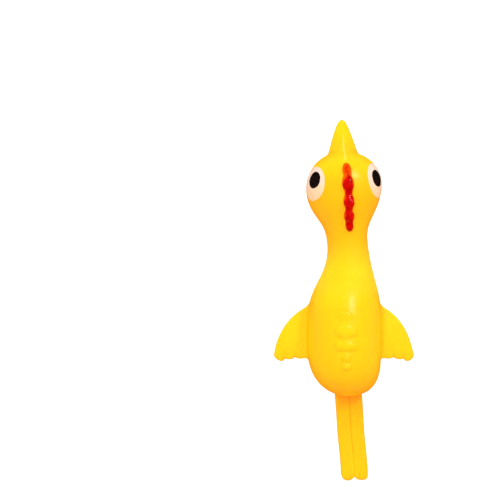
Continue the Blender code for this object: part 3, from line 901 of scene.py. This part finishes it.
# Half the length of each of the neck's two bends, and how far its skin reaches past them at its ends
NECK_BEND, NECK_EDGE = 3.7, 0.4
# Half the length of the stiff stretch between the bends
NECK_STIFF_HALF = 0.3
NECK_REAR_Y = NECK_SPLIT_Y - 2 * NECK_BEND - NECK_EDGE
NECK_FRONT_Y = NECK_SPLIT_Y + 2 * NECK_BEND + NECK_EDGE
BEAK_ROOT_Y = BEAK_TIP_Y - 9.2
# Where the wings' and the tail feathers' skin is cut from the body's; the pairs are spans of Y
WING_SKIN_X = WING_HINGE[0] - 1.6
WING_SKIN_SPAN, WING_SKIN_HALF_HEIGHT = (-18.5, 1.4), 3
TAIL_SKIN_HALF_WIDTH, TAIL_SKIN_Z, TAIL_SKIN_SPAN = 4.4, 17, (-21.5, -1.5)
SHANK_Y = HIP[1] + 0.3
FOOT_Y = HIP[1] - 5.1
FOOT_START = (FOOT_Y - HIP[1]) / LEG_LINE[1]
INNER_WALL_START = -0.4
# Where the flexing skin starts and ends: from a wing's root, behind the hip, and along the leg
WING_BEND = 2.4
SHANK_BEND = (0.1, 4.1)
FOOT_STRETCH = (6.2, 16.4)
# Half the width of the strip between the legs that is meshed finer, and its grid step
FINE_HALF_WIDTH, FINE_STEP = 0.72, 0.12


def spaced(low, high, fine_half=0.0, fine=None):
    """Grid lines at about CELL apart, closer together near zero."""
    if not fine_half:
        return np.linspace(low, high, int((high - low) / CELL) + 1)
    middle = np.linspace(-fine_half, fine_half, 2 * int(round(fine_half / fine)) + 1)
    outer = np.linspace(fine_half, high, int((high - fine_half) / CELL) + 1)[1:]
    return np.concatenate([-outer[::-1], middle, outer])


def skin_pieces(material):
    """Meshes the skin once, and cuts it into pieces at the places where the rubber flexes."""
    axes = [spaced(-21.0, 21.0, FINE_HALF_WIDTH, FINE_STEP), spaced(-51.5, 51.5), spaced(-0.8, 27.2)]
    points, faces, normals = meshed(skin, axes)
    values = tints(skin, points, normals)
    x, y, z = points[faces].mean(axis=1).T
    droop = WING_HINGE[2] - (np.abs(x) - WING_HINGE[0]) * math.tan(WING_DROOP)
    on_wing = (np.abs(x) > WING_SKIN_X) & (np.abs(z - droop) < WING_SKIN_HALF_HEIGHT)
    on_wing &= (y > WING_SKIN_SPAN[0]) & (y < WING_SKIN_SPAN[1])
    on_tail = (np.abs(x) < TAIL_SKIN_HALF_WIDTH) & (z > TAIL_SKIN_Z)
    on_tail &= (y > TAIL_SKIN_SPAN[0]) & (y < TAIL_SKIN_SPAN[1])
    masks = {
        "torso_skin": (y > SHANK_Y) & (y <= NECK_REAR_Y) & ~on_wing & ~on_tail,
        "tail_feathers_skin": on_tail,
        "neck_rear_skin": (y > NECK_REAR_Y) & (y <= NECK_SPLIT_Y),
        "neck_front_skin": (y > NECK_SPLIT_Y) & (y <= NECK_FRONT_Y),
        "head_skin": (y > NECK_FRONT_Y) & (y <= BEAK_ROOT_Y),
        "beak_skin": y > BEAK_ROOT_Y,
    }
    for side, sign in SIDES:
        masks[f"wing_{side}_skin"] = on_wing & (sign * x > 0)
        masks[f"shank_{side}_skin"] = (y <= SHANK_Y) & (y > FOOT_Y) & (sign * x > 0)
        masks[f"foot_{side}_skin"] = (y <= FOOT_Y) & (sign * x > 0)
    meshes = {name: part_of_mesh(mask, points, faces, normals, values) for name, mask in masks.items()}
    for side, sign in SIDES:
        for part, start, end in (("shank", INNER_WALL_START, FOOT_START), ("foot", FOOT_START, LEG_LENGTH)):
            name = f"{part}_{side}_skin"
            meshes[name] = with_inner_wall(meshes[name], sign, start, end)
    return {name: make_piece(name, *mesh, material, "yellow_rubber") for name, mesh in meshes.items()}


def bend(piece, start, end):
    """Bakes a piece's place into its mesh; the places from and to, in millimetres, have no effect."""
    tuple(np.array(start) * MM)
    tuple(np.array(end) * MM)
    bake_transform(piece)


def place_skin(pieces):
    """Puts the torso, tail feather, head and beak skin on the bodies that they move with, and bakes the other
    pieces in place.
    """
    for name, body in (("torso", "torso"), ("tail_feathers", "torso"), ("head", "head"), ("beak", "head")):
        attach(pieces[f"{name}_skin"], body)
        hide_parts(name)
    rear, front = pieces["neck_rear_skin"], pieces["neck_front_skin"]
    bend(rear, (0, NECK_SPLIT_Y - 2 * NECK_BEND, 0), (0, NECK_SPLIT_Y - NECK_STIFF_HALF, 0))
    bend(front, (0, NECK_SPLIT_Y + NECK_STIFF_HALF, 0), (0, NECK_SPLIT_Y + 2 * NECK_BEND, 0))
    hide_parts("neck")
    for side, sign in SIDES:
        wing, shank, foot = (pieces[f"{name}_{side}_skin"] for name in ("wing", "shank", "foot"))
        root = WING_HINGE[0] + 0.1
        bend(wing, (sign * root, 0, 0), (sign * (root + WING_BEND), 0, 0))
        start, end = ((0, HIP[1] - behind, 0) for behind in SHANK_BEND)
        bend(shank, start, end)
        start, end = (HIP + along * LEG_LINE for along in FOOT_STRETCH)
        bend(foot, start, end)
        for piece, node in ((wing, "wing"), (shank, "shank"), (foot, "foot")):
            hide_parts(f"{node}_{side}")


def comb_piece(material):
    """The painted comb. Its foot is hidden just under the skin."""

    def shape(p):
        return -join(-comb(p), trunk(p) + 0.3, 0.1)

    low, high = (-2.4, COMB_BEADS[-1][0] - 2.6, 14.0), (2.4, COMB_BEADS[0][0] + 3.0, 25.5)
    axes = [np.arange(a, b, CELL / 2) for a, b in zip(low, high)]
    points, faces, normals = meshed(shape, axes, coarse_step=0.6)
    # Orange where the paint is thin: low on both sides, and on the front bead
    low_down = np.clip(1.25 - 1.3 * trunk(points) / COMB_RISE, 0, 1)
    sideways = np.clip(np.abs(points[:, 0]) / 0.9, 0, 1) ** 2
    front = np.clip((points[:, 1] - 31.8) / 3.2, 0, 1)
    values = {"edge": low_down * sideways + 0.75 * front}
    piece = make_piece("comb_paint", points, faces, normals, values, material, "red_paint")
    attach(piece, "head")
    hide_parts("comb")


def eye_piece(name, sign, place, material, slot, radius, proud, sunk, rim_power):
    """A painted disc laid on the bulge, a little proud of it, with its rim just under the surface."""
    rise, y = place
    direction = eye_direction(rise)
    start = np.array([0.0, y, centre_z_at(HEAD_Y)])
    start[1] -= direction[1] * 10.0
    side = np.cross(direction, (0.0, 0.0, 1.0))
    side /= np.linalg.norm(side)
    up = np.cross(direction, side)
    rings, spokes = 22, 96
    share = np.sin(np.linspace(0, math.pi / 2, rings + 1))[1:]
    angle = np.linspace(0, 2 * math.pi, spokes, endpoint=False)
    wobble = 1 + 0.012 * np.sin(2 * angle + 0.6) + 0.008 * np.sin(5 * angle) + 0.005 * np.sin(9 * angle + 1)
    r = radius * share[:, None] * wobble[None, :]
    flat = start + r[..., None] * (np.cos(angle)[:, None] * side + np.sin(angle)[:, None] * up)
    flat = np.concatenate([start[None, :], flat.reshape(-1, 3)])
    points = flat + 13.0 * direction
    for _ in range(24):
        points = points - np.minimum(skin(points), 1.0)[:, None] * direction
    normals = gradient(skin, points)
    normals /= np.linalg.norm(normals, axis=1)[:, None]
    out = np.concatenate([[0.0], np.repeat(share, spokes)])
    points = points + (proud * (1 - out**rim_power) - sunk)[:, None] * normals
    faces = []
    for j in range(spokes):
        k = (j + 1) % spokes
        faces.append((0, 1 + j, 1 + k))
        for i in range(rings - 1):
            inner, outer = 1 + i * spokes, 1 + (i + 1) * spokes
            faces.append((inner + j, outer + j, outer + k, inner + k))
    mirror = np.array([sign, 1, 1])
    if sign < 0:
        faces = [face[::-1] for face in faces]
    piece = make_piece(f"{name}_paint", points * mirror, faces, normals * mirror, {}, material, slot)
    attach(piece, "head")
    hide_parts(name)


def eyes(white, black):
    for side, sign, white_place, pupil_place in EYES:
        eye_piece(f"eye_white_{side}", sign, white_place, white, "white_paint", **EYE_WHITE)
        eye_piece(f"pupil_{side}", sign, pupil_place, black, "black_paint", **PUPIL)


# ---------------------------------------------------------------- stage

FLOOR_HALF = 1.5
# The camera looks straight down at this place, and its picture is this wide there
VIEW_PLACE = (-26.4, 14.3, 11.0)
VIEW_WIDTH = 138.65
LENS, SENSOR = 100.0, 36.0


def area_light(name, place, size, power, colour=(1, 1, 1), glossy=True):
    """A square lamp that faces the middle of the toy."""
    light = bpy.data.lights.new(name, "AREA")
    light.size = size * MM
    light.energy = power
    light.color = colour
    lamp = bpy.data.objects.new(name, light)
    bpy.context.scene.collection.objects.link(lamp)
    lamp.location = tuple(np.array(place, float) * MM)
    lamp.rotation_euler = (-lamp.location).to_track_quat("-Z", "Y").to_euler()
    lamp.visible_glossy = glossy


def studio():
    """A bright white floor and room, a wide lamp in front, a compact one front right, a warm one behind."""
    scene = bpy.context.scene
    scene.view_settings.view_transform = "Standard"
    world = bpy.data.worlds.new("room")
    world.use_nodes = True
    world.node_tree.nodes["Background"].inputs["Color"].default_value = (1, 1, 1, 1)
    world.node_tree.nodes["Background"].inputs["Strength"].default_value = 0.8
    scene.world = world
    world.cycles_visibility.glossy = False
    area_light("key", (200, 215, 355), 40, 0.52)
    area_light("front_light", (-95, 200, 430), 260, 1.6, glossy=False)
    area_light("warm_fill", (60, -330, 300), 260, 0.6, (1.0, 0.3, 0.04), glossy=False)

    nodes = Nodes("floor_white")
    nodes.feed(nodes.shader, "Base Color", (0.4, 0.4, 0.4, 1))
    nodes.feed(nodes.shader, "Roughness", 0.9)
    nodes.feed(nodes.shader, "Emission Color", (1, 1, 1, 1))
    nodes.feed(nodes.shader, "Emission Strength", 0.9)
    mesh = bpy.data.meshes.new("floor")
    corners = [(x * FLOOR_HALF, y * FLOOR_HALF, 0) for x, y in ((-1, -1), (1, -1), (1, 1), (-1, 1))]
    mesh.from_pydata(corners, [], [(0, 1, 2, 3)])
    mesh.materials.append(nodes.material)
    floor = bpy.data.objects.new("floor", mesh)
    scene.collection.objects.link(floor)
    floor.visible_glossy = False
    floor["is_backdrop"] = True


def camera():
    """Straight above, with the toy right of and below the middle of the picture."""
    data = bpy.data.cameras.new("camera")
    data.lens, data.sensor_width = LENS, SENSOR
    item = bpy.data.objects.new("camera", data)
    bpy.context.scene.collection.objects.link(item)
    x, y, z = VIEW_PLACE
    item.location = (x * MM, y * MM, (z + VIEW_WIDTH * LENS / SENSOR) * MM)
    bpy.context.scene.camera = item


place_skin(skin_pieces(yellow_rubber()))
comb_piece(red_paint())
eyes(white_paint(), black_paint())
studio()
camera()

boxes = {"cad": cad_box, "visual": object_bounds()}
{name: [list(corner) for corner in box] for name, box in boxes.items()}
